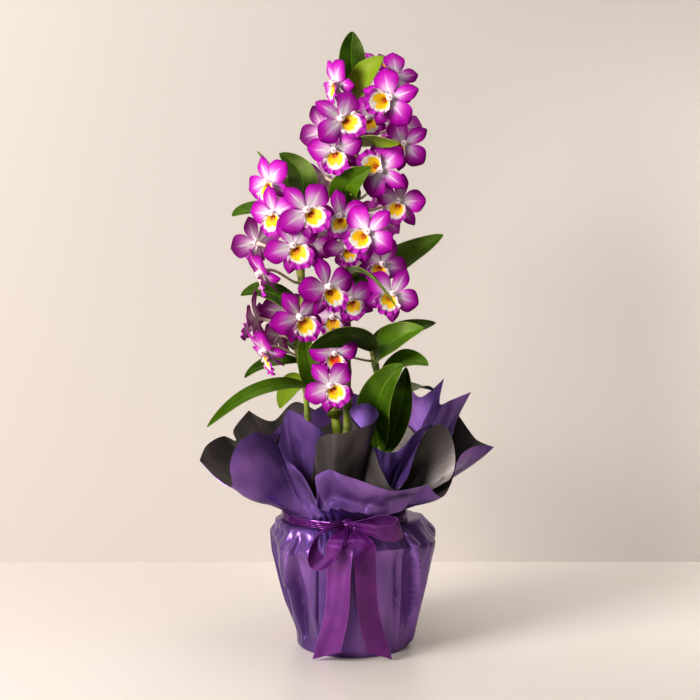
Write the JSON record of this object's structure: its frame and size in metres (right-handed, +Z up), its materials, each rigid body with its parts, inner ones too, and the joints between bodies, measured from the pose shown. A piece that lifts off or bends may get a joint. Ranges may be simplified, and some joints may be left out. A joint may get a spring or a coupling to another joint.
{
  "type": "potted dendrobium orchid",
  "caption": "Leafy-caned orchid with dense clusters of magenta blooms, in a nursery pot that is wrapped in purple and charcoal film and tied with a satin ribbon.",
  "frame": {"origin": "middle of the wrapped pot's flat foot, where it meets the surface it stands on", "axes": "+Z runs up the plant, -Y is the front with the ribbon bow, +X is the viewer's right"},
  "size_m": [0.292, 0.219, 0.617],
  "materials": {
    "pot": "matte",
    "mix": "matte",
    "film_purple": "satin",
    "film_charcoal": "satin",
    "satin_ribbon": "satin",
    "cane_and_leaf": "satin",
    "bloom": "satin"
  },
  "bodies": {
    "root": {"pot": "pot", "potting_mix": "mix", "wrap_outer": "film_purple", "wrap_middle": "film_charcoal", "wrap_inner": "film_purple", "ribbon": "satin_ribbon", "cane_tall": "cane_and_leaf", "cane_left": "cane_and_leaf", "cane_short": "cane_and_leaf", "cane_right": "cane_and_leaf", "bloom_01": "bloom", "bloom_02_10": "bloom", "bloom_03_04": "bloom", "bloom_05": "bloom", "bloom_06": "bloom", "bloom_07_33": "bloom", "bloom_08": "bloom", "bloom_09": "bloom", "bloom_11": "bloom", "bloom_12": "bloom", "bloom_13_24": "bloom", "bloom_14_17_31": "bloom", "bloom_15": "bloom", "bloom_16_18": "bloom", "bloom_19": "bloom", "bloom_20": "bloom", "bloom_21": "bloom", "bloom_22": "bloom", "bloom_23": "bloom", "bloom_25": "bloom", "bloom_26": "bloom", "bloom_27": "bloom", "bloom_28": "bloom", "bloom_29": "bloom", "bloom_30": "bloom", "bloom_32_38": "bloom", "bloom_34": "bloom", "bloom_35": "bloom", "bloom_36": "bloom", "bloom_37": "bloom", "bloom_39": "bloom", "bloom_40": "bloom"}
  },
  "joints": []
}
